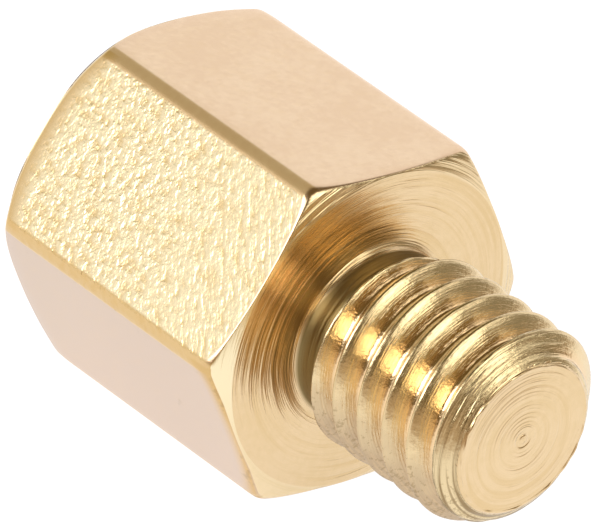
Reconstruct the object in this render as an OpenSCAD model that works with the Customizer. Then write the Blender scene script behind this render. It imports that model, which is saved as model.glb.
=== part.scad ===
// Male-female hex standoff turned from one piece of drawn brass hex bar.
// It lies on one flat, with its axis along X and its threaded stud towards +X.
// The origin is the centre of the shoulder, the face that the stud stands on.

/* [Hex body] */
// Width of the hex bar across its flats
across_flats = 4.76; // [4:0.01:9]
// Length of the hex body, from the shoulder to the tapped end
body_length = 4.65; // [3:0.05:25]
// Radius of the bar's six long edges
edge_radius = 0.24; // [0.05:0.01:0.5]

/* [Turned ends of the body] */
// How far inside the flats the shoulder's turned chamfer starts
shoulder_inset = 0.03; // [0.01:0.01:0.3]
// Slope of the shoulder's chamfer, in degrees from the face
shoulder_slope = 15; // [8:1:45]
// How far outside the flats the tapped end's turned chamfer starts
tapped_outset = 0.04; // [0.01:0.01:0.15]
// Slope of the tapped end's chamfer, in degrees from the face
tapped_slope = 43; // [20:1:50]

/* [Both threads] */
// Distance from one crest to the next
pitch = 0.5; // [0.35:0.05:0.7]
// Angle between the two flanks of a groove
flank_angle = 60; // [50:1:65]
// Share of the pitch that is flat where a thread reaches furthest out
crest_share = 0.125; // [0.08:0.005:0.2]

/* [Tapped hole] */
// Diameter of the hole inside its thread's crests
hole_diameter = 2.5; // [1.6:0.05:2.7]
// Depth of the hole, without the drill's point
hole_depth = 3.35; // [2:0.05:10]
// Least wall left between the drill's point and the shoulder
end_wall = 0.5; // [0.3:0.05:1.2]
// Included angle of the drill's point
point_angle = 118; // [90:1:140]
// Diameter of the countersunk mouth
mouth_diameter = 3.3; // [3.1:0.05:3.8]
// Diameter over the roots of the hole's thread
tapped_diameter = 3; // [2.8:0.01:3.4]
// Place of the hole's groove on the +Y side, from the end face
groove_place = 0.25; // [0:0.01:0.5]
// Slope at which the hole's thread runs out, in degrees from the axis
tap_slope = 30; // [15:1:45]
// Length of plain hole left past the end of its thread
plain_length = 1; // [0.5:0.1:1.5]

/* [Stud] */
// Diameter over the thread's crests
stud_diameter = 2.98; // [2:0.01:3.6]
// Length of the stud, from the shoulder to its end face
stud_length = 3.15; // [2:0.05:15]
// Depth of the thread's groove below the crests
thread_depth = 0.29; // [0.15:0.01:0.4]
// Place of a crest on the +Y side, from the shoulder
crest_place = 0.26; // [0:0.01:0.5]
// Slope at which the thread rises out of the neck, in degrees from the axis
runout_slope = 60; // [40:1:75]
// Length of the undercut neck beside the shoulder
neck_length = 0.4; // [0.25:0.01:0.8]
// How far the neck stands above the thread's root
neck_step = 0.02; // [0.01:0.01:0.1]
// Radius in the corner between the neck and the shoulder
neck_fillet = 0.14; // [0.05:0.01:0.2]
// How far the end chamfer runs below the thread's root
tip_drop = 0.11; // [0.03:0.01:0.3]
// Slope of the end chamfer, in degrees from the axis
tip_slope = 45; // [30:1:60]
// Diameter of the nub that the facing cut leaves at the centre
nub_diameter = 0.22; // [0.1:0.01:0.4]
// Height of that nub
nub_height = 0.03; // [0.01:0.01:0.08]

/* [Hidden] */
$fn = 64;
// Steps in each rounded edge of the bar, and in the neck's fillet
edge_steps = 5;
// Points around the stud's thread, around the hole's thread, and rows of points in each pitch
stud_sides = 48;
hole_sides = 36;
thread_rows = 8;
// How far cutters and joined shapes run past what they meet
overrun = 0.1;
// How far the tap's own roots lie inside the drilled hole
tap_gap = 0.05;
// Slope at which the tap's blank rises outside the body
tap_entry_slope = 80;
brass = [0.83, 0.68, 0.44];

flat_reach = across_flats / 2;
corner_reach = flat_reach / cos(30);
hole_reach = hole_diameter / 2;
mouth_reach = mouth_diameter / 2;
point_length = hole_reach / tan(point_angle / 2);
hole_end = min(hole_depth - body_length, -end_wall - point_length);
tapped_reach = tapped_diameter / 2;
tap_reach = hole_reach - tap_gap;
stud_reach = stud_diameter / 2;
root_reach = stud_reach - thread_depth;
neck_reach = root_reach + neck_step;
tip_reach = root_reach - tip_drop;

// Points of an arc in the plane, from one angle to another
function arc(centre, radius, from, to, steps) =
    [for (i = [0:steps])
        let (turn = from + (to - from) * i / steps)
        centre + radius * [cos(turn), sin(turn)]];

// Section of the bar, with a corner on the Y axis
function bar_section() =
    [for (corner = [30:60:330])
        let (middle = (flat_reach - edge_radius) / cos(30))
        for (p = arc(middle * [cos(corner), sin(corner)], edge_radius, corner - 30, corner + 30, edge_steps)) p];

// Half-section of the blank that the two turned chamfers leave, as [radius, x]
function blank_section() =
    let (past = corner_reach + overrun)
    let (shoulder_start = flat_reach - shoulder_inset)
    let (tapped_start = flat_reach + tapped_outset)
    [[0, -body_length],
     [tapped_start, -body_length],
     [past, -body_length + (past - tapped_start) * tan(tapped_slope)],
     [past, -(past - shoulder_start) * tan(shoulder_slope)],
     [shoulder_start, 0],
     [0, 0]];

// Half-section of the drilled hole, from beyond its countersunk mouth to the drill's point
function hole_section() =
    [[0, -body_length - overrun],
     [mouth_reach + overrun, -body_length - overrun],
     [hole_reach, -body_length + mouth_reach - hole_reach],
     [hole_reach, hole_end],
     [0, hole_end + point_length]];

// Half-section of the neck, with its fillet in the corner of the shoulder
function neck_section() =
    let (foot = neck_reach + neck_fillet)
    concat(
        [[0, -overrun], [foot, -overrun]],
        arc([foot, neck_fillet], neck_fillet, 270, 180, edge_steps),
        [[neck_reach, neck_length], [0, neck_length]]);

module along_x() {
    rotate([0, 90, 0]) children();
}

// A right-hand thread as one closed solid, from the flat end at x = first to the one at x = last.
// It is cut in a blank of the radius outer, which rises from the radius first_reach at one end and
// falls to last_reach at the other, at slopes in degrees from the axis. On the +Y side a crest
// is at x = crest.
module wound_thread(sides, outer, depth, crest,
    first, first_reach, first_slope, last, last_reach, last_slope) {
    // The rows of points follow the helix, so that the crests and roots are clean lines
    row_step = pitch / thread_rows;
    first_row = crest + pitch * (floor((first - crest) / pitch) - 1) - row_step / 2;
    row_count = ceil((last - first_row) / row_step) + thread_rows + 1;

    function row_x(side, row) = first_row + row * row_step + pitch * side / sides;
    function turned(side, reach, x) =
        let (turn = 360 * side / sides)
        [x, reach * cos(turn), reach * sin(turn)];

    // Radius of an endless thread, by the distance along the axis from a crest's middle
    function thread_reach(along) =
        let (from_crest = abs(along - pitch * round(along / pitch)))
        let (down_flank = max(0, from_crest - pitch * crest_share / 2) / tan(flank_angle / 2))
        outer - min(down_flank, depth);
    function blank_reach(x) =
        min(outer, first_reach + (x - first) * tan(first_slope), last_reach + (last - x) * tan(last_slope));

    // A row that lies past an end of the thread is drawn in to the ring of points there
    function point_number(side, row) =
        side == sides ? point_number(0, row + thread_rows) :
        let (x = row_x(side, row))
        x < first + row_step / 4 ? side :
        x > last - row_step / 4 ? sides + side :
        2 * sides + side * row_count + row;

    points = concat(
        [for (side = [0:sides - 1]) turned(side, first_reach, first)],
        [for (side = [0:sides - 1]) turned(side, last_reach, last)],
        [for (side = [0:sides - 1])
            for (row = [0:row_count - 1])
                let (x = row_x(side, row))
                let (reach = min(thread_reach(x - crest - pitch * side / sides), blank_reach(x)))
                turned(side, max(reach, last_reach / 2), x)]);
    faces = concat(
        [[for (side = [0:sides - 1]) side]],
        [[for (side = [sides - 1:-1:0]) sides + side]],
        [for (side = [0:sides - 1])
            for (row = [0:row_count - thread_rows - 2])
                let (a = point_number(side, row))
                let (b = point_number(side, row + 1))
                let (c = point_number(side + 1, row + 1))
                let (d = point_number(side + 1, row))
                for (face = [[a, b, c], [a, c, d]])
                    if (face[0] != face[1] && face[1] != face[2] && face[2] != face[0]) face]);
    polyhedron(points = points, faces = faces, convexity = 10);
}

// The length of hex bar, with both ends chamfered in the lathe
module hex_body() {
    intersection() {
        translate([-body_length, 0, 0]) along_x() linear_extrude(height = body_length) polygon(bar_section());
        along_x() rotate_extrude() polygon(blank_section());
    }
}

// What the drill, the countersink and the tap take out of the body. The tap's roots lie inside the
// drilled hole, so the crests that it leaves are bands of one true cylinder.
module tapped_hole() {
    along_x() rotate_extrude() polygon(hole_section());
    wound_thread(hole_sides, tapped_reach, tapped_reach - tap_reach, groove_place - body_length,
        -body_length - overrun, tap_reach, tap_entry_slope, hole_end - plain_length, tap_reach, tap_slope);
}

// The stud: a filleted neck, then the thread, then the nub on the end face
module stud() {
    along_x() rotate_extrude() polygon(neck_section());
    wound_thread(stud_sides, stud_reach, thread_depth, crest_place,
        neck_length, root_reach, runout_slope, stud_length, tip_reach, tip_slope);
    translate([stud_length - overrun, 0, 0]) along_x()
        cylinder(h = nub_height + overrun, d = nub_diameter);
}

module standoff() {
    color(brass) difference() {
        union() {
            hex_body();
            stud();
        }
        tapped_hole();
    }
}

standoff();
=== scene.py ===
import math

import bmesh
import bpy
import numpy as np
from mathutils import Matrix, Vector


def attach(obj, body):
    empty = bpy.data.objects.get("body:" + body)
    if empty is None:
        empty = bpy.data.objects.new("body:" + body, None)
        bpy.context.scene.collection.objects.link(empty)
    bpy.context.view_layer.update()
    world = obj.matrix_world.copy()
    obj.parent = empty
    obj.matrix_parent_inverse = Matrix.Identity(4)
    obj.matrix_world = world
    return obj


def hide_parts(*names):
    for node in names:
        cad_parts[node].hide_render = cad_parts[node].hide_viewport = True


mm = 0.001                      # sizes below are in millimetres
mergeGap = 0.0003 * mm          # points closer than this become one

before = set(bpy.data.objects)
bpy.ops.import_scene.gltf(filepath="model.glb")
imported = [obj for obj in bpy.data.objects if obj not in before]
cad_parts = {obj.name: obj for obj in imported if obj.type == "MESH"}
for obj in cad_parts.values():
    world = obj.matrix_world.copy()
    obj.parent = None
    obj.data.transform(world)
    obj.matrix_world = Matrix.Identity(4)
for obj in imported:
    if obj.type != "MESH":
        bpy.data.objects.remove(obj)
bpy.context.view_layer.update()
print("frame loaded")


# feed and the helpers after it serve shader and geometry trees alike
def feed(tree, socket, value):
    # a socket takes another socket, a colour or a number
    if isinstance(value, bpy.types.NodeSocket):
        tree.links.new(value, socket)
    elif socket.type == "RGBA":
        socket.default_value = (*value, 1)
    else:
        socket.default_value = value


def mathNode(tree, operation, *values):
    node = tree.nodes.new("ShaderNodeMath")
    node.operation = operation
    for socket, value in zip(node.inputs, values):
        feed(tree, socket, value)
    return node.outputs[0]


def noiseNode(tree, vector, scale, detail=2.0, roughness=0.5, seed=0.0):
    node = tree.nodes.new("ShaderNodeTexNoise")
    node.noise_dimensions = "4D"
    settings = {"Vector": vector, "W": seed, "Scale": scale, "Detail": detail, "Roughness": roughness}
    for name, value in settings.items():
        feed(tree, node.inputs[name], value)
    return node.outputs[0]


def rangeNode(tree, value, fromLow, fromHigh, toLow=0.0, toHigh=1.0, kind="LINEAR"):
    node = tree.nodes.new("ShaderNodeMapRange")
    node.interpolation_type = kind
    settings = {
        "Value": value,
        "From Min": fromLow, "From Max": fromHigh,
        "To Min": toLow, "To Max": toHigh,
    }
    for name, number in settings.items():
        feed(tree, node.inputs[name], number)
    return node.outputs[0]


def mixNode(tree, share, first, second):
    node = tree.nodes.new("ShaderNodeMix")
    node.data_type = "RGBA"
    for place, value in ((0, share), (6, first), (7, second)):
        feed(tree, node.inputs[place], value)
    return node.outputs[2]


def vectorNode(tree, x, y, z):
    node = tree.nodes.new("ShaderNodeCombineXYZ")
    for socket, value in zip(node.inputs, (x, y, z)):
        feed(tree, socket, value)
    return node.outputs[0]


def splitNode(tree, vector):
    node = tree.nodes.new("ShaderNodeSeparateXYZ")
    tree.links.new(vector, node.inputs[0])
    return node.outputs["X"], node.outputs["Y"], node.outputs["Z"]


def stretchNode(tree, vector, scale):
    node = tree.nodes.new("ShaderNodeVectorMath")
    node.operation = "MULTIPLY"
    tree.links.new(vector, node.inputs[0])
    node.inputs[1].default_value = scale
    return node.outputs[0]


# The turned hex bar, its neck and its tapped end
hexBody = {
    "acrossFlats": 4.76,
    "length": 4.65,
    "edgeRadius": 0.24,         # the bar's long edges
    "shoulderStart": 2.35,      # radius where the shoulder's chamfer starts
    "shoulderSlope": 15.0,      # degrees from the face
    "farStart": 2.42,           # the same two at the tapped end
    "farSlope": 43.0,
    "neckRadius": 1.22,
    "neckFillet": 0.14,
    "neckStep": 0.015,          # length of the last step down into the thread
    "neckRows": 5, "filletRows": 6,
    "cornerSoft": 0.11,         # how much further a flat's front rounding reaches at its corners
    "cornerPower": 3,           # how closely that keeps to the corners
    "shoulderLegs": (0.03, 0.01),   # how far a rounding reaches before its corner and after it
    "farLegs": (0.05, 0.02),
    "endLegs": (0.02, 0.02),
    "mouthLegs": (0.01, 0.01),
    "farSoft": 0.07,            # how gently the far chamfer runs out on a flat
    "rollLength": 0.30,         # the far end of a flat rolls off over this length
    "rollDepth": 0.018,
    "arcSteps": 4,              # points over each half of a long edge
    "flatSteps": 24,            # points across a flat
    # rows over the shoulder, its chamfer, the flats, the far chamfer, the end face and its mouth
    "rows": [30, 3, 26, 3, 10, 2],
    "toolRing": 0.0015,         # height of the rings that the tool left on the shoulder
    "ringMargin": 0.05,         # plain width on both sides of those rings
    "dimpleFade": 0.04,         # the dimples fade out over this length at the front
    "reflectionReach": 0.10,         # the painted reflection reaches this far behind a flat's front rounding
    "chamferHighlight": 0.3,        # painted highlight: how bright the shoulder's chamfer is away from its -Y corner
    "chamferPower": 6,          # how closely the brightness keeps to that corner
    # the lists have one value for each flat or long edge, round from the +Y corner
    "edgeSoft": [0.05, 0.045, 0.012, 0.12, 0.06, 0.06],     # rounding of a flat's front edge
    "peel": [0.3, 0.12, 1.0, 0.1, 0.2, 0.8],                # dimples, and the painted highlight tone on the dimpled flats
    "edgePeel": [0.3, 0.1, 0.06, 1.1, 0.1, 0.2],
    "shadeAndPits": [0.2, 0.0, 0.0, 1.0, 0.7, 0.3],                # painted shade, strongest on the flats that face down, with more pits there
    "edgeShadeAndPits": [0.2, 0.0, 0.0, 0.0, 0.4, 0.3],
    "farReflection": [0.3, 0.0, 1.0, 0.0, 0.2, 0.6],             # painted golden reflection at a flat's rolled far end
    # the same painted reflection at a flat's front rounding, and on the long edges
    "frontReflection": [0.4, 0.1, 0.0, 1.0, 0.8, 0.6],
    "edgeReflection": [0.1, 0.0, 0.35, 0.85, 0.2, 0.2],
    "seed": 4,
}


sixth = math.radians(60)
# distance from the axis to the middle of a long edge's rounding, and the angle over half of it
edgeMiddle = (hexBody["acrossFlats"] / 2 - hexBody["edgeRadius"]) / math.cos(sixth / 2)
edgeHalf = math.atan2(hexBody["edgeRadius"] / 2, edgeMiddle + hexBody["edgeRadius"] * math.cos(sixth / 2))


def barAngles():
    # points close together on the long edges, evenly spaced on the flats
    arc, flat = hexBody["arcSteps"], hexBody["flatSteps"]
    rise = [edgeHalf * i / arc for i in range(arc)]
    across = [edgeHalf + (sixth - 2 * edgeHalf) * i / flat for i in range(flat)]
    fall = [sixth - edgeHalf + a for a in rise]
    return np.array([sixth * k + a for k in range(6) for a in rise + across + fall])


hexAngles = barAngles()
sides = len(hexAngles)
roundAngles = np.arange(sides) * 2 * math.pi / sides
fromCorner = np.abs((hexAngles + sixth / 2) % sixth - sixth / 2)
onEdge = fromCorner < 0.99 * edgeHalf


def barRadius():
    # distance from the axis to the bar's surface, corners rounded
    onFlat = hexBody["acrossFlats"] / 2 / np.cos(sixth / 2 - fromCorner)
    aside = edgeMiddle * np.sin(fromCorner)
    outward = np.sqrt(np.maximum(hexBody["edgeRadius"] ** 2 - aside ** 2, 0))
    return np.where(onEdge, edgeMiddle * np.cos(fromCorner) + outward, onFlat)


def byFlat(flatValues, edgeValues=None):
    # one value per side, from lists with one value for each flat and each long edge
    values = np.array(flatValues)[(hexAngles // sixth).astype(int) % 6]
    if edgeValues is None:
        return values
    nearest = np.round(hexAngles / sixth).astype(int) % 6
    return np.where(onEdge, np.array(edgeValues)[nearest], values)


def wander(rng, waves):
    # a smooth closed line round the axis, between about -1 and 1
    line = np.zeros(sides)
    for k in range(1, waves + 1):
        line += rng.normal() * np.cos(k * roundAngles + rng.uniform(0, 2 * math.pi))
    return line / math.sqrt(waves)


finishNames = ["drawn", "turned", "threaded"]


class Shell:
    # rows of points round the axis, with a finish for each band between two rows

    def __init__(self):
        self.rows, self.finishes = [], []
        self.layers = {"ridge": [], "peel": [], "shadeAndPits": [], "paintedReflection": []}

    def add(self, x, radius, angles, ridge=0.0, finish=None, peel=0.0, paintedReflection=0.0):
        x, radius = np.broadcast_to(x, sides), np.broadcast_to(radius, sides)
        self.rows.append(np.stack([x, radius * np.cos(angles), radius * np.sin(angles)], 1))
        shadedAndPitted = byFlat(hexBody["shadeAndPits"], hexBody["edgeShadeAndPits"])
        for name, value in (("ridge", ridge), ("peel", peel), ("shadeAndPits", shadedAndPitted), ("paintedReflection", paintedReflection)):
            self.layers[name].append(np.broadcast_to(value, sides))
        if len(self.rows) > 1:
            self.finishes.append(finish)

    def mesh(self, meshName):
        bm = bmesh.new()
        for name in self.layers:
            bm.verts.layers.float.new(name)
        verts = [bm.verts.new(Vector(p) * mm) for p in np.concatenate(self.rows)]
        for name, values in self.layers.items():
            layer = bm.verts.layers.float[name]
            for vert, value in zip(verts, np.concatenate(values)):
                vert[layer] = float(value)
        for i, finish in enumerate(self.finishes):
            here, after = i * sides, (i + 1) * sides
            for j in range(sides):
                k = (j + 1) % sides
                face = bm.faces.new([verts[here + j], verts[here + k], verts[after + k], verts[after + j]])
                face.smooth = True
                face.material_index = finishNames.index(finish)
        bmesh.ops.remove_doubles(bm, verts=bm.verts, dist=mergeGap)
        mesh = bpy.data.meshes.new(meshName)
        bm.to_mesh(mesh)
        bm.free()
        return mesh


mostBefore, mostAfter = 0.75, 0.22      # share of a stretch that the rounding of a corner may take


def bentLine(corners, steps, legs):
    # rows along a line of corners; each corner is eased from one leg before it to one leg after it
    corners = [
        np.stack([np.broadcast_to(value, sides) for value in corner], 1).astype(float)
        for corner in corners
    ]
    out = []
    start = corners[0]
    for k in range(1, len(corners)):
        before, here = corners[k - 1], corners[k]
        eased = k < len(corners) - 1
        entry = here
        if eased:
            after = corners[k + 1]
            spanBefore = np.linalg.norm(here - before, axis=1)
            spanAfter = np.linalg.norm(after - here, axis=1)
            legBefore, legAfter = legs[k - 1]
            shareBefore = np.minimum(legBefore / spanBefore, mostBefore)[:, None]
            shareAfter = np.minimum(legAfter / spanAfter, mostAfter)[:, None]
            entry = here + (before - here) * shareBefore
            leave = here + (after - here) * shareAfter
        spread = steps[k - 1]
        for i in range(1, spread + 1):
            along = 0.5 - 0.5 * math.cos(math.pi * i / spread)      # rows lie closer near the ends
            out.append((start + (entry - start) * along, 0.0, k - 1))
        if eased:
            for t in (0.2, 0.4, 0.6, 0.8, 1.0):
                point = entry * (1 - t) ** 2 + here * 2 * t * (1 - t) + leave * t ** 2
                out.append((point, 1.0 - abs(t - 0.5), k - 1 if t < 0.5 else k))
            start = leave
    return out


# Both threads come from one tree, and these are its inputs
studThread = {
    "Crest Radius": 1.495, "Groove Side": -1.0, "Groove Depth": 0.295, "Pitch": 0.5,
    "Crest Flat": 0.05, "Crest Round": 0.10, "Crest Place": 0.26, "Root Round": 0.08, "Crest Burr": 0.012,
    "Start": 0.40, "Start Radius": 1.19, "Start Slope": 60.0,
    "End": 3.125, "End Radius": 1.115, "End Slope": 57.0, "End Ring Step": 0.085, "End Ring Depth": 0.014,
    "Mouth Radius": 0.0, "Rows Per Pitch": 30, "Seed": 3,
}
holeThread = {
    "Crest Radius": 1.25, "Groove Side": 1.0, "Groove Depth": 0.25, "Pitch": 0.5,
    "Crest Flat": 0.149, "Crest Round": 0.02, "Crest Place": -4.65, "Root Round": 0.04, "Crest Burr": 0.004,
    "Start": -4.63, "Start Radius": 3.0, "Start Slope": 60.0,
    "End": -2.387, "End Radius": 1.247, "End Slope": 30.0, "End Ring Step": 0.1, "End Ring Depth": 0.0,
    "Mouth Radius": 1.63, "Rows Per Pitch": 12, "Seed": 5,
}


def addNeck(shell):
    body, end = hexBody, studThread["Start"]
    fillet, radius = body["neckFillet"], body["neckRadius"]
    shell.add(end, studThread["Start Radius"], roundAngles)
    for x in np.linspace(end - body["neckStep"], fillet, body["neckRows"]):
        shell.add(x, radius, roundAngles, finish="turned")
    for i in range(1, body["filletRows"] + 1):
        turn = math.radians(90 * i / body["filletRows"])
        x, rise = fillet * (1 - math.sin(turn)), fillet * (1 - math.cos(turn))
        shell.add(x, radius + rise, roundAngles, finish="turned")


def makeBody():
    body = hexBody
    onBar = barRadius()
    foot = body["neckRadius"] + body["neckFillet"]
    shoulderSlope, farSlope = (math.tan(math.radians(body[k])) for k in ("shoulderSlope", "farSlope"))
    farWidth = body["farSoft"] * np.log(1 + np.exp((onBar - body["farStart"]) / body["farSoft"]))
    far, mouth, mouthStart = -body["length"], holeThread["Mouth Radius"], holeThread["Start"]
    rim = mouth + mouthStart - far
    corners = [
        (0.0, foot),
        (0.0, body["shoulderStart"]),
        (-(onBar - body["shoulderStart"]) * shoulderSlope, onBar),
        (far + farWidth * farSlope, onBar),
        (far, onBar - farWidth),
        (far, rim),
        (mouthStart, mouth),
    ]
    spans = ["turned", "turned", "drawn", "turned", "turned", "turned"]
    atCorner = (onBar - onBar.min()) / (onBar.max() - onBar.min())
    front = byFlat(body["edgeSoft"]) + body["cornerSoft"] * atCorner ** body["cornerPower"]
    legs = [body["shoulderLegs"], (0.8 * front, front), body["farLegs"], body["endLegs"], body["mouthLegs"]]
    line = bentLine(corners, body["rows"], legs)

    shell = Shell()
    addNeck(shell)
    rng = np.random.default_rng(body["seed"])
    ringStart, ringEnd = foot + body["ringMargin"], body["shoulderStart"] - body["ringMargin"]
    peel = byFlat(body["peel"], body["edgePeel"])
    farReflection, frontReflection = byFlat(body["farReflection"]), byFlat(body["frontReflection"])
    edgeReflection = byFlat([0.0] * 6, body["edgeReflection"])
    farEdge, frontEdge = corners[3][0], corners[2][0]
    for points, ridge, span in line:
        x, radius = points[:, 0], points[:, 1]
        # rows are round at the neck and the hole, and hexagonal at the flats
        share, dimples, paintedReflection = 1.0, 0.0, 0.0
        if span == 0:
            share = (radius - foot) / (body["shoulderStart"] - foot)
            if ringStart < radius[0] < ringEnd:
                x = x + body["toolRing"] * rng.uniform(-1, 1)
        elif span == 1:
            # painted highlight on the shoulder's chamfer, strongest at its -Y corner
            nearCorner = np.clip(-np.cos(hexAngles), 0, 1) ** body["chamferPower"]
            paintedReflection = body["chamferHighlight"] + (1 - body["chamferHighlight"]) * nearCorner
        elif span == 2:
            roll = np.clip(1 - (x - farEdge) / body["rollLength"], 0, 1)
            radius = radius - body["rollDepth"] * roll ** 2
            dimples = peel * np.clip((frontEdge - front - x) / body["dimpleFade"], 0, 1) * (1 - roll) ** 0.5
            # painted reflection near the front rounding, at the rolled far end and on the long edges
            nearFront = np.clip(1.2 - (frontEdge - x) / (front + body["reflectionReach"]), 0, 1)
            paintedReflection = np.clip(farReflection * roll + frontReflection * nearFront + edgeReflection, 0, 1)
        elif span >= 4:
            share = (radius - rim) / (onBar - farWidth - rim)
        if span == 3:
            radius = radius - body["rollDepth"]
        angles = roundAngles + (hexAngles - roundAngles) * np.clip(share, 0, 1)
        shell.add(x, radius, angles, ridge, spans[span], dimples, paintedReflection)
    return shell.mesh("hexBody")


studTip = {
    "length": 3.15,
    "rimSoft": 0.014,           # rounding of the rim
    "rimBurr": 0.013,           # height of the torn lip that the facing tool left there
    "burrWaves": 24,            # how ragged that lip is
    "burrShare": 0.35,          # how much of the way round it shows
    "burrMost": 1.4,            # its highest tears, in heights
    "ringStep": 0.066,          # feed of the facing tool, from one ring to the next
    "ringDepth": 0.0022,
    "ringSwell": 0.4, "swellTurns": 7.0,    # how much the rings' depth comes and goes, and how fast
    "rowsPerRing": 4,
    "nubRadius": 0.10,
    "nubHeight": 0.019,
    "craterRadius": 0.17,       # the shallow hollow round the nub
    "craterDepth": 0.010,
    "seed": 11,
}


def makeTip():
    tip, wall = studTip, studThread
    length, soft = tip["length"], tip["rimSoft"]
    rng = np.random.default_rng(tip["seed"])
    torn = tip["rimBurr"] * np.clip(tip["burrShare"] + wander(rng, tip["burrWaves"]), 0, tip["burrMost"])
    shell = Shell()
    shell.add(wall["End"], wall["End Radius"], roundAngles)
    rim = wall["End Radius"] - (length - wall["End"])
    for t in (0.0, 0.25, 0.5, 0.75, 1.0):
        x = (length - soft * 0.7) * (1 - t) ** 2 + length * 2 * t * (1 - t) + length * t ** 2
        radius = (rim + soft * 0.7) * (1 - t) ** 2 + rim * 2 * t * (1 - t) + (rim - soft) * t ** 2
        shell.add(x + torn * math.sin(math.pi / 2 * t), radius, roundAngles, 1.0 - abs(t - 0.5), "turned")
    shell.add(length + 0.2 * torn, rim - 2 * soft, roundAngles, 0.0, "turned")
    outer = rim - 2 * soft
    count = int(outer / tip["ringStep"] * tip["rowsPerRing"])
    for i in range(1, count):
        radius = outer * (1 - i / count)
        wave = np.cos(2 * math.pi * radius / tip["ringStep"] + roundAngles)
        uneven = 1 - tip["ringSwell"] + tip["ringSwell"] * math.sin(tip["swellTurns"] * radius)
        fade = min(1.0, radius / (2 * tip["ringStep"]))
        nub = tip["nubHeight"] * max(0.0, 1 - (radius / tip["nubRadius"]) ** 2) ** 2
        crater = tip["craterDepth"] * max(0.0, 1 - (radius / tip["craterRadius"]) ** 2)
        x = length + tip["ringDepth"] * uneven * fade * wave + nub - crater
        shell.add(x, radius, roundAngles, 0.0, "turned")
    shell.add(length + tip["nubHeight"] - tip["craterDepth"], 0.0, roundAngles, 0.0, "turned")
    return shell.mesh("studTip")


drillPoint = {"wallEnd": -1.30, "tip": -0.549, "rows": 6}


def makeDrillPoint():
    shell = Shell()
    radius, rows = holeThread["End Radius"], drillPoint["rows"]
    shell.add(holeThread["End"], radius, roundAngles)
    shell.add(drillPoint["wallEnd"], radius, roundAngles, finish="turned")
    for i in range(1, rows + 1):
        x = drillPoint["wallEnd"] + (drillPoint["tip"] - drillPoint["wallEnd"]) * i / rows
        shell.add(x, radius * (1 - i / rows), roundAngles, finish="turned")
    return shell.mesh("drillPoint")


wholeInputs = ("Rows Per Pitch", "Seed")    # all others but the slopes are lengths
plainInputs = ("Groove Side",)              # -1 for a thread on a stud, 1 for one in a hole
windingRule = {
    "flankAngle": 60.0,         # between the two sides of a groove, in degrees
    "tearGrain": 3.5,           # tears per mm along a crest, about
    "tearLevel": 0.75,          # above this value of the noise the crest is torn outwards
    "tearSide": -1.1,           # how much more that is on the side of the start
    "tearPower": 6.0,           # how closely the tears keep to the crest
    "ringDrift": 9.0,           # how unevenly the end chamfer's rings run
    "cutSoft": 0.02,            # the end chamfer's finish sets in over this depth
}


def storeNode(tree, geometry, name, value):
    node = tree.nodes.new("GeometryNodeStoreNamedAttribute")
    node.data_type, node.domain = "FLOAT", "POINT"
    node.inputs["Name"].default_value = name
    tree.links.new(geometry, node.inputs["Geometry"])
    tree.links.new(value, node.inputs["Value"])
    return node.outputs[0]


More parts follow.
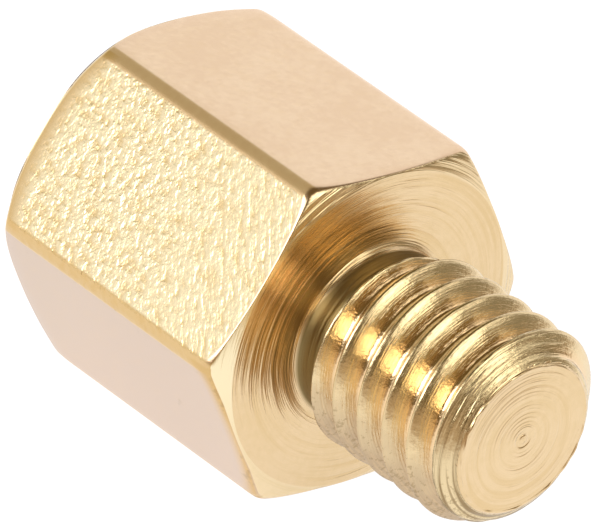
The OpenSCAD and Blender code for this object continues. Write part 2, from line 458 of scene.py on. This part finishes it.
def threadTree(rule):
    tree = bpy.data.node_groups.new("windThread", "GeometryNodeTree")
    for name in studThread:
        kind = "NodeSocketInt" if name in wholeInputs else "NodeSocketFloat"
        socket = tree.interface.new_socket(name, in_out="INPUT", socket_type=kind)
        if name.endswith("Slope"):
            socket.subtype = "ANGLE"
        elif name not in wholeInputs + plainInputs:
            socket.subtype = "DISTANCE"
    tree.interface.new_socket("Sides", in_out="INPUT", socket_type="NodeSocketInt")
    tree.interface.new_socket("Finish", in_out="INPUT", socket_type="NodeSocketMaterial")
    tree.interface.new_socket("Wall", in_out="OUTPUT", socket_type="NodeSocketGeometry")
    given = tree.nodes.new("NodeGroupInput").outputs
    link = tree.links.new

    def calc(operation, *values):
        return mathNode(tree, operation, *values)

    pitch, start, end, crest = given["Pitch"], given["Start"], given["End"], given["Crest Place"]
    rowStep = calc("DIVIDE", pitch, given["Rows Per Pitch"])
    # the rows run along the helix, half a row beside the crest's middle, so its edges are clean lines
    pitchesBefore = calc("FLOOR", calc("DIVIDE", calc("SUBTRACT", start, crest), pitch))
    firstCrest = calc("MULTIPLY_ADD", pitch, calc("SUBTRACT", pitchesBefore, 1.0), crest)
    firstRow = calc("SUBTRACT", firstCrest, calc("DIVIDE", rowStep, 2.0))
    rowCount = calc("ADD", calc("CEIL", calc("DIVIDE", calc("SUBTRACT", end, firstRow), rowStep)), 2.0)

    grid = tree.nodes.new("GeometryNodeMeshGrid")
    grid.inputs["Size X"].default_value = 1.0
    grid.inputs["Size Y"].default_value = 1.0
    link(calc("ADD", given["Sides"], 1.0), grid.inputs["Vertices X"])
    link(rowCount, grid.inputs["Vertices Y"])
    gridX, gridY, _ = splitNode(tree, tree.nodes.new("GeometryNodeInputPosition").outputs[0])
    turn = calc("ADD", gridX, 0.5)
    row = calc("MULTIPLY", calc("ADD", gridY, 0.5), calc("SUBTRACT", rowCount, 1.0))
    lead = calc("MULTIPLY", pitch, turn)
    along = calc("ADD", calc("MULTIPLY_ADD", row, rowStep, firstRow), lead)
    x = calc("MINIMUM", calc("MAXIMUM", along, start), end)
    angle = calc("MULTIPLY", turn, 2 * math.pi)
    cosine, sine = calc("COSINE", angle), calc("SINE", angle)

    pastCrest = calc("SUBTRACT", calc("SUBTRACT", x, crest), lead)
    fromCrest = calc("PINGPONG", pastCrest, calc("DIVIDE", pitch, 2.0))
    fromFlat = calc("SUBTRACT", fromCrest, calc("DIVIDE", given["Crest Flat"], 2.0))
    downFlank = calc("SMOOTH_MAX", fromFlat, 0.0, given["Crest Round"])
    drop = calc("DIVIDE", downFlank, math.tan(math.radians(rule["flankAngle"] / 2)))
    depth = calc("SMOOTH_MIN", drop, given["Groove Depth"], given["Root Round"])
    ridge = calc("SUBTRACT", 1.0, calc("DIVIDE", depth, given["Groove Depth"]))
    lean = calc("SINE", calc("MULTIPLY", calc("DIVIDE", pastCrest, pitch), 2 * math.pi))

    # the die has torn the crest a little, in short uneven stretches, most on the side of the start
    aroundY, aroundZ = (calc("MULTIPLY", side, 1.5) for side in (cosine, sine))
    wound = vectorNode(tree, calc("MULTIPLY", x, 1 / mm), aroundY, aroundZ)
    tear = noiseNode(tree, wound, rule["tearGrain"], 3.0, 0.6, given["Seed"])
    lip = calc("MULTIPLY_ADD", calc("MINIMUM", lean, 0.3), rule["tearSide"], 0.1)
    atCrest = calc("POWER", calc("MAXIMUM", ridge, 0.0), rule["tearPower"])
    burr = calc("ADD", calc("SUBTRACT", tear, rule["tearLevel"]), lip)
    burr = calc("MULTIPLY", burr, given["Crest Burr"])
    burr = calc("MULTIPLY", burr, atCrest)

    # the turned end has rings of its own
    fromEnd = calc("DIVIDE", calc("SUBTRACT", end, x), given["End Ring Step"])
    drift = noiseNode(tree, wound, 0.8, 1.0, 0.5, given["Seed"])
    ringShift = calc("MULTIPLY", drift, rule["ringDrift"])
    wave = calc("COSINE", calc("MULTIPLY_ADD", fromEnd, 2 * math.pi, ringShift))
    ring = calc("MULTIPLY", calc("SUBTRACT", wave, 1.0), given["End Ring Depth"])

    grooved = calc("MULTIPLY_ADD", depth, given["Groove Side"], given["Crest Radius"])
    threadRadius = calc("ADD", grooved, burr)
    mouth = calc("SUBTRACT", given["Mouth Radius"], calc("SUBTRACT", x, start))
    opened = calc("MAXIMUM", threadRadius, mouth)
    startRise, endRise = calc("TANGENT", given["Start Slope"]), calc("TANGENT", given["End Slope"])
    startCap = calc("MULTIPLY_ADD", calc("SUBTRACT", x, start), startRise, given["Start Radius"])
    endCap = calc("MULTIPLY_ADD", calc("SUBTRACT", end, x), endRise, given["End Radius"])
    endCap = calc("MULTIPLY_ADD", ring, calc("MINIMUM", fromEnd, 1.0), endCap)
    radius = calc("MINIMUM", calc("MINIMUM", opened, startCap), endCap)
    cut = calc("DIVIDE", calc("SUBTRACT", opened, endCap), rule["cutSoft"] * mm)
    cut = calc("MINIMUM", calc("MAXIMUM", cut, 0.0), 1.0)

    last = storeNode(tree, grid.outputs["Mesh"], "ridge", ridge)
    last = storeNode(tree, last, "lean", lean)
    last = storeNode(tree, last, "cut", cut)
    setPlace = tree.nodes.new("GeometryNodeSetPosition")
    place = vectorNode(tree, x, calc("MULTIPLY", radius, cosine), calc("MULTIPLY", radius, sine))
    link(place, setPlace.inputs["Position"])
    merge = tree.nodes.new("GeometryNodeMergeByDistance")
    merge.inputs["Distance"].default_value = mergeGap
    smooth = tree.nodes.new("GeometryNodeSetShadeSmooth")
    realize = tree.nodes.new("GeometryNodeRealizeInstances")
    finish = tree.nodes.new("GeometryNodeSetMaterial")
    link(given["Finish"], finish.inputs["Material"])
    for node in (setPlace, merge, smooth, realize, finish):
        link(last, node.inputs["Geometry"])
        last = node.outputs[0]
    link(last, tree.nodes.new("NodeGroupOutput").inputs[0])
    return tree


def windThread(name, sizes, tree, finish):
    holder = bpy.data.objects.new(name, bpy.data.meshes.new(name))
    bpy.context.scene.collection.objects.link(holder)
    modifier = holder.modifiers.new("wind", "NODES")
    modifier.node_group = tree
    values = dict(sizes, Sides=sides, Finish=finish)
    for item in tree.interface.items_tree:
        if item.in_out != "INPUT":
            continue
        value = values[item.name]
        if getattr(item, "subtype", "") == "DISTANCE":
            value *= mm
        elif getattr(item, "subtype", "") == "ANGLE":
            value = math.radians(value)
        modifier[item.identifier] = value
    evaluated = holder.evaluated_get(bpy.context.evaluated_depsgraph_get())
    mesh = bpy.data.meshes.new_from_object(evaluated)
    bpy.data.objects.remove(holder)
    return mesh


# the finishes share the effects below; places are in millimetres
def newGroup(name, inputs, output, kind):
    tree = bpy.data.node_groups.new(name, "ShaderNodeTree")
    kinds = {"vector": "NodeSocketVector", "value": "NodeSocketFloat", "colour": "NodeSocketColor"}
    for label, inputKind in inputs.items():
        tree.interface.new_socket(label, in_out="INPUT", socket_type=kinds[inputKind])
    tree.interface.new_socket(output, in_out="OUTPUT", socket_type=kinds[kind])
    return tree, tree.nodes.new("NodeGroupInput").outputs, tree.nodes.new("NodeGroupOutput").inputs[0]


def placeGroup(tree, group, values):
    node = tree.nodes.new("ShaderNodeGroup")
    node.node_tree = group
    for label, value in values.items():
        feed(tree, node.inputs[label], value)
    return node.outputs[0]


def brassToneGroup():
    # soft patches between two tones of brass
    inputs = {"Place": "vector", "Tone": "colour", "Patch Tone": "colour"}
    tree, given, out = newGroup("brassTone", inputs, "Colour", "colour")
    soft = noiseNode(tree, given["Place"], 0.9, 3.0)
    fine = noiseNode(tree, given["Place"], 9.0, 2.0, 0.6, 2.0)
    patches = rangeNode(tree, mathNode(tree, "MULTIPLY_ADD", fine, 0.8, soft), 0.75, 1.05)
    tree.links.new(mixNode(tree, patches, given["Tone"], given["Patch Tone"]), out)
    return tree


def pitsGroup():
    # small dark pits, as a mask
    inputs = {"Place": "vector", "Grain": "value", "Share": "value"}
    tree, given, out = newGroup("pits", inputs, "Mask", "value")
    grain = noiseNode(tree, given["Place"], given["Grain"], 3.0, 0.65)
    edge = rangeNode(tree, given["Share"], 0.0, 1.0, 0.78, 0.46)
    tree.links.new(rangeNode(tree, grain, edge, mathNode(tree, "ADD", edge, 0.07)), out)
    return tree


def orangePeelGroup():
    # soft dimples of a drawn surface: drawn out aslant where Stretch is 1, round where it is 0
    inputs = {"Place": "vector", "Grain": "value", "Stretch": "value"}
    tree, given, out = newGroup("orangePeel", inputs, "Height", "value")
    x, y, z = splitNode(tree, given["Place"])
    aslant = mathNode(tree, "MULTIPLY_ADD", z, 0.8, x)
    lessY, lessZ = mathNode(tree, "MULTIPLY", y, 0.6), mathNode(tree, "MULTIPLY", z, 0.4)
    slanted = vectorNode(tree, aslant, lessY, lessZ)
    across = noiseNode(tree, slanted, given["Grain"], 2.0, 0.5)
    spots = noiseNode(tree, given["Place"], given["Grain"], 2.0, 0.5, 3.0)
    step = mathNode(tree, "SUBTRACT", across, spots)
    tree.links.new(mathNode(tree, "MULTIPLY_ADD", step, given["Stretch"], spots), out)
    return tree


def toolRingsGroup():
    # grooves that a lathe tool leaves round the X axis
    tree, given, out = newGroup("toolRings", {"Place": "vector", "Rings": "value"}, "Height", "value")
    x, y, z = splitNode(tree, given["Place"])
    squares = mathNode(tree, "MULTIPLY_ADD", y, y, mathNode(tree, "MULTIPLY", z, z))
    radius = mathNode(tree, "SUBTRACT", mathNode(tree, "SQRT", squares), x)
    bent = mathNode(tree, "MULTIPLY_ADD", noiseNode(tree, given["Place"], 1.3, 1.0), 0.03, radius)
    alongY, alongZ = (mathNode(tree, "MULTIPLY", side, 0.35) for side in (y, z))
    rings = vectorNode(tree, mathNode(tree, "MULTIPLY", bent, given["Rings"]), alongY, alongZ)
    tree.links.new(noiseNode(tree, rings, 1.0, 3.0, 0.65), out)
    return tree


brassTone, pits, orangePeel, toolRings = brassToneGroup(), pitsGroup(), orangePeelGroup(), toolRingsGroup()


def startFinish(name):
    finish = bpy.data.materials.new(name)
    finish.use_nodes = True
    tree = finish.node_tree
    shader = tree.nodes["Principled BSDF"].inputs
    shader["Metallic"].default_value = 1.0
    where = tree.nodes.new("ShaderNodeTexCoord").outputs["Object"]
    return finish, tree, shader, stretchNode(tree, where, (1 / mm, 1 / mm, 1 / mm))


def attributeNode(tree, name):
    node = tree.nodes.new("ShaderNodeAttribute")
    node.attribute_name = name
    return node.outputs["Fac"]


def bumpNode(tree, height, depth, strength=1.0):
    # depth is in millimetres
    node = tree.nodes.new("ShaderNodeBump")
    node.inputs["Distance"].default_value = depth * mm
    feed(tree, node.inputs["Height"], height)
    feed(tree, node.inputs["Strength"], strength)
    return node.outputs["Normal"]


def addPits(tree, place, tone, look, share):
    pitted = placeGroup(tree, pits, {"Place": place, "Grain": look["pitGrain"], "Share": share})
    return mixNode(tree, mathNode(tree, "MULTIPLY", pitted, look["pitDark"]), tone, look["pitTone"])


drawnLook = {
    "tone": (0.83, 0.63, 0.43), "patch": (0.78, 0.57, 0.38),
    "highlightTone": (0.89, 0.74, 0.48),   # painted highlight, lighter and yellower, between the dimples
    # painted shade in the dimples' hollows
    "dimpleShadeTone": (0.78, 0.56, 0.28),
    # painted shade of the down-facing flats
    "shadeTone": (0.64, 0.49, 0.385),
    # painted golden reflection on the rounded edges and rolled ends
    "reflectionTone": (0.68, 0.46, 0.20),
    "grain": 9.5,               # dimples per mm, about
    "depth": 0.017,             # of the dimples, in mm
    "stretch": 0.6,             # how far they are drawn out aslant at the front
    "stretchFrom": -2.6, "stretchTo": -0.8,     # along the axis
    "dimpleFrom": 0.52, "dimpleTo": 0.36,       # heights between which a dimple's hollow takes its painted shade
    "dimpleShare": 0.8,
    "smoothRoughness": 0.26, "dimpledRoughness": 0.20,
    "pitTone": (0.35, 0.22, 0.10), "pitDark": 0.35, "pitGrain": 6.0,
    "pitShare": 0.18,           # on a clean flat
    "shadePits": 0.2,           # more of them where the painted shade is, and more again where the painted reflection lies on it too
    "reflectionPits": 0.4,
}


def drawnFinish(look):
    finish, tree, shader, place = startFinish("drawnBrass")
    peel, shadeAndPits = attributeNode(tree, "peel"), attributeNode(tree, "shadeAndPits")
    x, _, _ = splitNode(tree, place)
    stretch = rangeNode(tree, x, look["stretchFrom"], look["stretchTo"], 0.0, look["stretch"])
    height = placeGroup(tree, orangePeel, {"Place": place, "Grain": look["grain"], "Stretch": stretch})
    tone = placeGroup(tree, brassTone, {"Place": place, "Tone": look["tone"], "Patch Tone": look["patch"]})
    # painted shade: the down-facing flats darker and greyer
    tone = mixNode(tree, shadeAndPits, tone, look["shadeTone"])
    # painted highlight: the dimpled flats lighter and yellower
    tone = mixNode(tree, peel, tone, look["highlightTone"])
    # painted shade in the dimples' hollows
    low = rangeNode(tree, height, look["dimpleTo"], look["dimpleFrom"], look["dimpleShare"], 0.0)
    tone = mixNode(tree, mathNode(tree, "MULTIPLY", low, peel), tone, look["dimpleShadeTone"])
    paintedReflection = attributeNode(tree, "paintedReflection")
    # painted reflection: a darker golden tone on the rounded front edges, rolled far ends and long edges
    tone = mixNode(tree, paintedReflection, tone, look["reflectionTone"])
    both = mathNode(tree, "MULTIPLY", paintedReflection, shadeAndPits)
    pitShare = mathNode(tree, "MULTIPLY_ADD", both, look["reflectionPits"], look["pitShare"])
    pitShare = mathNode(tree, "MULTIPLY_ADD", shadeAndPits, look["shadePits"], pitShare)
    feed(tree, shader["Base Color"], addPits(tree, place, tone, look, pitShare))
    roughness = rangeNode(tree, peel, 0.0, 1.0, look["smoothRoughness"], look["dimpledRoughness"])
    feed(tree, shader["Roughness"], roughness)
    feed(tree, shader["Normal"], bumpNode(tree, height, look["depth"], peel))
    return finish


turnedLook = {
    "tone": (0.80, 0.61, 0.365), "patch": (0.77, 0.58, 0.33),
    # painted highlight on the shoulder's chamfer
    "chamferHighlightTone": (0.93, 0.80, 0.52),
    # painted shade in the ring grooves
    "grooveShadeTone": (0.70, 0.50, 0.24),
    # painted shade of the neck between the shoulder and the thread
    "neckShadeTone": (0.25, 0.18, 0.075),
    "rings": 10.0,              # rings per mm, about
    "depth": 0.027,             # of the rings, in mm
    "ringFrom": 0.5, "ringTo": 0.36,    # heights between which a groove takes its painted shade
    "ringShare": 0.5,
    "roughness": 0.22, "neckRoughness": 0.42,
    "neckFrom": 0.01, "neckTo": 0.05,   # along the axis, where the neck's shade sets in
    "neckEnd": 0.5,
    "filletLight": 0.07,        # how much further the fillet stays light on the upper side
    "pitTone": (0.40, 0.27, 0.12), "pitDark": 0.4, "pitGrain": 8.0, "pitShare": 0.15,
}


def turnedFinish(look):
    finish, tree, shader, place = startFinish("turnedBrass")
    x, _, z = splitNode(tree, place)
    # painted shade on the neck, kept off the fillet further on its upper side
    fromFillet = mathNode(tree, "SUBTRACT", x, rangeNode(tree, z, 0.5, 1.1, 0.0, look["filletLight"]))
    neck = rangeNode(tree, fromFillet, look["neckFrom"], look["neckTo"])
    beforeThread = rangeNode(tree, x, look["neckEnd"], look["neckEnd"] + 0.1, 1.0, 0.0)
    neck = mathNode(tree, "MULTIPLY", neck, beforeThread)
    rings = placeGroup(tree, toolRings, {"Place": place, "Rings": look["rings"]})
    tone = placeGroup(tree, brassTone, {"Place": place, "Tone": look["tone"], "Patch Tone": look["patch"]})
    # painted shade in the ring grooves
    grooves = rangeNode(tree, rings, look["ringTo"], look["ringFrom"], look["ringShare"], 0.0)
    tone = mixNode(tree, grooves, tone, look["grooveShadeTone"])
    # painted highlight on the shoulder's chamfer, strongest at its -Y corner
    tone = mixNode(tree, attributeNode(tree, "paintedReflection"), tone, look["chamferHighlightTone"])
    tone = mixNode(tree, neck, tone, look["neckShadeTone"])
    feed(tree, shader["Base Color"], addPits(tree, place, tone, look, look["pitShare"]))
    roughness = rangeNode(tree, neck, 0.0, 1.0, look["roughness"], look["neckRoughness"])
    feed(tree, shader["Roughness"], roughness)
    feed(tree, shader["Normal"], bumpNode(tree, rings, look["depth"]))
    return finish


threadLook = {
    "flank": (0.82, 0.65, 0.38), "root": (0.84, 0.61, 0.345),
    "crest": (0.60, 0.46, 0.25),
    "lip": (0.95, 0.84, 0.58),      # painted highlight along the torn side of a crest
    "under": (0.53, 0.40, 0.26),    # painted shade on the underside
    "cut": (0.80, 0.64, 0.38),      # the end chamfer
    "rootRoughness": 0.15, "crestRoughness": 0.25, "underRoughness": 0.42, "cutRoughness": 0.26,
    "polish": 0.12,                 # how much less rough the torn side is
    "underFrom": 0.35, "underTo": -0.40,    # heights between which the underside's painted shade and roughness set in
    "underShare": 0.9, "crestShare": 0.9, "streakShare": 0.3,
    "streakGrain": 1.6, "streakRise": 9.0,  # streaks per mm along and up a flank
    "grain": 15.0, "grainShare": 0.6,
    "depth": 0.007,                 # of the streaks and the grain, in mm
    "cutRings": 13.0,               # rings per mm on the end chamfer, about
    "cutDepth": 2.5,                # their depth, in depths of the streaks
    "pitTone": (0.33, 0.23, 0.11), "pitDark": 0.5, "pitGrain": 15.0,
    "pitsLow": 0.25, "pitsHigh": 0.8,   # from the roots on top to the crests underneath
}


def threadFinish(look):
    finish, tree, shader, place = startFinish("threadBrass")
    ridge, lean, cut = (attributeNode(tree, name) for name in ("ridge", "lean", "cut"))
    x, y, z = splitNode(tree, place)
    # streaks follow the helix, because the ridge's height is the same all along it
    wound = vectorNode(tree, mathNode(tree, "MULTIPLY_ADD", ridge, look["streakRise"], x), y, z)
    streaks = noiseNode(tree, wound, look["streakGrain"], 3.0, 0.6)
    grain = noiseNode(tree, place, look["grain"], 2.0, 0.6)
    # the underside is rougher, and darker as painted shade
    edge = mathNode(tree, "MULTIPLY_ADD", noiseNode(tree, place, 2.0, 2.0), 0.8, z)
    under = rangeNode(tree, edge, look["underFrom"], look["underTo"])

    tone = mixNode(tree, rangeNode(tree, ridge, 0.05, 0.5), look["root"], look["flank"])
    tone = mixNode(tree, rangeNode(tree, ridge, 0.90, 0.98, 0.0, look["crestShare"]), tone, look["crest"])
    atCrest, tornSide = rangeNode(tree, ridge, 0.90, 0.97), rangeNode(tree, lean, -0.12, -0.25)
    lip = mathNode(tree, "MULTIPLY", atCrest, tornSide)
    # painted highlight along the torn side of the crests
    tone = mixNode(tree, lip, tone, look["lip"])
    # painted shade on the underside
    tone = mixNode(tree, mathNode(tree, "MULTIPLY", under, look["underShare"]), tone, look["under"])
    tone = mixNode(tree, rangeNode(tree, streaks, 0.36, 0.5, look["streakShare"], 0.0), tone, look["root"])
    tone = mixNode(tree, cut, tone, look["cut"])
    rings = placeGroup(tree, toolRings, {"Place": place, "Rings": look["cutRings"]})
    # painted shade in the end chamfer's ring grooves, in the pits' tone
    darkRings = mathNode(tree, "MULTIPLY", rangeNode(tree, rings, 0.36, 0.5, 1.0, 0.0), cut)
    tone = mixNode(tree, darkRings, tone, look["pitTone"])
    low = mathNode(tree, "ADD", under, ridge)
    pitShare = rangeNode(tree, low, 0.3, 1.6, look["pitsLow"], look["pitsHigh"])
    feed(tree, shader["Base Color"], addPits(tree, place, tone, look, pitShare))

    dull = rangeNode(tree, ridge, 0.2, 0.95, look["rootRoughness"], look["crestRoughness"])
    dull = mathNode(tree, "MULTIPLY_ADD", lip, -look["polish"], dull)
    dull = rangeNode(tree, under, 0.0, 1.0, dull, look["underRoughness"])
    feed(tree, shader["Roughness"], rangeNode(tree, cut, 0.0, 1.0, dull, look["cutRoughness"]))
    height = mathNode(tree, "MULTIPLY_ADD", grain, look["grainShare"], streaks)
    cutRings = mathNode(tree, "MULTIPLY", rings, cut)
    height = mathNode(tree, "MULTIPLY_ADD", cutRings, look["cutDepth"], height)
    feed(tree, shader["Normal"], bumpNode(tree, height, look["depth"]))
    return finish


finishes = [drawnFinish(drawnLook), turnedFinish(turnedLook), threadFinish(threadLook)]
print("finishes made")


def joinShells(name, parts):
    # one closed piece; the threads' faces have no finish number of their own yet
    whole = bmesh.new()
    for finish, mesh in parts:
        before = len(whole.faces)
        whole.from_mesh(mesh)
        if finish is not None:
            whole.faces.ensure_lookup_table()
            for face in whole.faces[before:]:
                face.material_index = finishNames.index(finish)
    bmesh.ops.remove_doubles(whole, verts=whole.verts, dist=mergeGap)
    bmesh.ops.recalc_face_normals(whole, faces=whole.faces)
    openEdges = sum(1 for edge in whole.edges if not edge.is_manifold)
    volume = round(whole.calc_volume() / mm ** 3, 2)
    print(name + ":", len(whole.faces), "faces,", openEdges, "open edges,", volume, "mm3")
    mesh = bpy.data.meshes.new(name)
    whole.to_mesh(mesh)
    whole.free()
    for finish in finishes:
        mesh.materials.append(finish)
    piece = bpy.data.objects.new(name, mesh)
    bpy.context.scene.collection.objects.link(piece)
    return piece


winding = threadTree(windingRule)
standoff = joinShells("brassStandoff", [
    (None, makeBody()),
    (None, makeTip()),
    (None, makeDrillPoint()),
    ("threaded", windThread("studThread", studThread, winding, finishes[2])),
    ("threaded", windThread("holeThread", holeThread, winding, finishes[2])),
])
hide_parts("standoff")
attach(standoff, "root")
print("standoff made")


# A white light table
lightTable = {
    "size": 400.0,
    "colour": (0.28, 0.28, 0.28),
    "glow": (0.92, 0.92, 0.95),     # light that only the camera and reflections see
    "farGlow": (0.30, 0.18, 0.07),  # what reflections see of it further off
    # it sets in between two distances along x and y, in front of the stud and on the far side of it
    "ahead": (0.95, -0.3), "aheadFrom": 6.5, "aheadTo": 11.0,
    "aside": (0.5, 0.85), "asideFrom": 24.0, "asideTo": 34.0,
}


def makeTable(sizes):
    mesh = bpy.data.meshes.new("lightTable")
    half, level = sizes["size"] / 2 * mm, -hexBody["acrossFlats"] / 2 * mm
    corners = [(-half, -half, level), (half, -half, level), (half, half, level), (-half, half, level)]
    mesh.from_pydata(corners, [], [(0, 1, 2, 3)])
    table = bpy.data.objects.new("lightTable", mesh)
    bpy.context.scene.collection.objects.link(table)

    surface = bpy.data.materials.new("lightTable")
    surface.use_nodes = True
    tree = surface.node_tree
    tree.nodes.clear()
    kinds = ("NodeBsdfDiffuse", "NodeEmission", "NodeAddShader", "NodeOutputMaterial")
    diffuse, glow, both, result = (tree.nodes.new("Shader" + kind) for kind in kinds)
    diffuse.inputs["Color"].default_value = (*sizes["colour"], 1)
    x, y, _ = splitNode(tree, tree.nodes.new("ShaderNodeTexCoord").outputs["Object"])
    far = {}
    for way in ("ahead", "aside"):
        alongX, alongY = sizes[way]
        out = mathNode(tree, "MULTIPLY_ADD", y, alongY, mathNode(tree, "MULTIPLY", x, alongX))
        far[way] = rangeNode(tree, out, sizes[way + "From"] * mm, sizes[way + "To"] * mm)
    beyond = mathNode(tree, "MULTIPLY", far["aside"], rangeNode(tree, x, 0.0, 10 * mm))
    dark = mathNode(tree, "MAXIMUM", far["ahead"], beyond)
    path = tree.nodes.new("ShaderNodeLightPath").outputs
    mirrored = mathNode(tree, "MAXIMUM", path["Is Glossy Ray"], path["Is Transmission Ray"])
    dark = mathNode(tree, "MULTIPLY", dark, mirrored)
    feed(tree, glow.inputs["Color"], mixNode(tree, dark, sizes["glow"], sizes["farGlow"]))
    feed(tree, glow.inputs["Strength"], mathNode(tree, "MAXIMUM", path["Is Camera Ray"], mirrored))
    tree.links.new(diffuse.outputs[0], both.inputs[0])
    tree.links.new(glow.outputs[0], both.inputs[1])
    tree.links.new(both.outputs[0], result.inputs["Surface"])
    mesh.materials.append(surface)


# Above it a dim room, with soft boxes that are seen from the part in these ranges of directions
room = (0.15, 0.105, 0.045)
softBoxes = {
    "above": {
        "x": (-1.3, -0.42), "y": (-0.8, 0.6), "z": (0.38, 1.3),
        "soft": 0.05, "colour": (0.60, 0.55, 0.40),
    },
    "backdrop": {
        "x": (-1.3, -0.45), "y": (-1.3, 1.3), "z": (-0.2, 0.37),
        "soft": 0.03, "colour": (1.0, 1.0, 0.98),
    },
    "behind": {
        "x": (-1.3, 0.15), "y": (0.53, 1.3), "z": (-0.2, 0.75),
        "soft": 0.04, "colour": (1.12, 1.09, 1.10),
    },
    "rear": {
        "x": (0.15, 1.3), "y": (0.55, 1.3), "z": (-0.3, 0.45),
        "soft": 0.06, "colour": (0.30, 0.26, 0.19),
    },
    "right": {
        "x": (0.45, 1.3), "y": (-0.15, 0.40), "z": (0.20, 0.80),
        "soft": 0.05, "colour": (2.6, 2.55, 2.3),
    },
    "rightTop": {
        "x": (0.30, 0.65), "y": (0.45, 0.80), "z": (0.50, 0.75),
        "soft": 0.05, "colour": (1.4, 1.35, 1.25),
    },
    "left": {
        "x": (-0.50, 0.45), "y": (-1.3, -0.45), "z": (0.24, 0.62),
        "soft": 0.05, "colour": (5.2, 5.1, 5.0),
    },
}


def makeRoom():
    world = bpy.data.worlds.new("room")
    bpy.context.scene.world = world
    world.use_nodes = True
    tree = world.node_tree
    axes = dict(zip("xyz", splitNode(tree, tree.nodes.new("ShaderNodeTexCoord").outputs["Generated"])))
    light = room
    for box in softBoxes.values():
        share = 1.0
        soft = box["soft"]
        for axis, along in axes.items():
            low, high = box[axis]
            rise = rangeNode(tree, along, low - soft, low + soft, kind="SMOOTHSTEP")
            fall = rangeNode(tree, along, high - soft, high + soft, 1.0, 0.0, kind="SMOOTHSTEP")
            share = mathNode(tree, "MULTIPLY", share, mathNode(tree, "MULTIPLY", rise, fall))
        light = mixNode(tree, share, light, box["colour"])
    tree.links.new(light, tree.nodes["Background"].inputs["Color"])


makeTable(lightTable)
makeRoom()


shot = {
    "target": (-0.994, -0.525, 0.613),
    "azimuth": 45.151, "elevation": 28.597, "roll": 9.63,   # degrees
    "distance": 158.84,
    "focalPixels": 12000.0, "imageWidth": 595,
}


def makeCamera():
    camera = bpy.data.cameras.new("camera")
    camera.sensor_width = 36.0
    camera.lens = shot["focalPixels"] / shot["imageWidth"] * camera.sensor_width
    camera.clip_start, camera.clip_end = 0.01, 2.0
    viewer = bpy.data.objects.new("camera", camera)
    bpy.context.scene.collection.objects.link(viewer)
    turn, lift, roll = (math.radians(shot[k]) for k in ("azimuth", "elevation", "roll"))
    back = Vector((math.sin(turn) * math.cos(lift), -math.cos(turn) * math.cos(lift), math.sin(lift)))
    facing = back.to_track_quat("Z", "Y").to_matrix() @ Matrix.Rotation(roll, 3, "Z")
    place = (Vector(shot["target"]) + back * shot["distance"]) * mm
    viewer.matrix_world = Matrix.Translation(place) @ facing.to_4x4()
    bpy.context.scene.camera = viewer


makeCamera()
bpy.context.scene.view_settings.view_transform = "Standard"
print("light table, room and camera made")
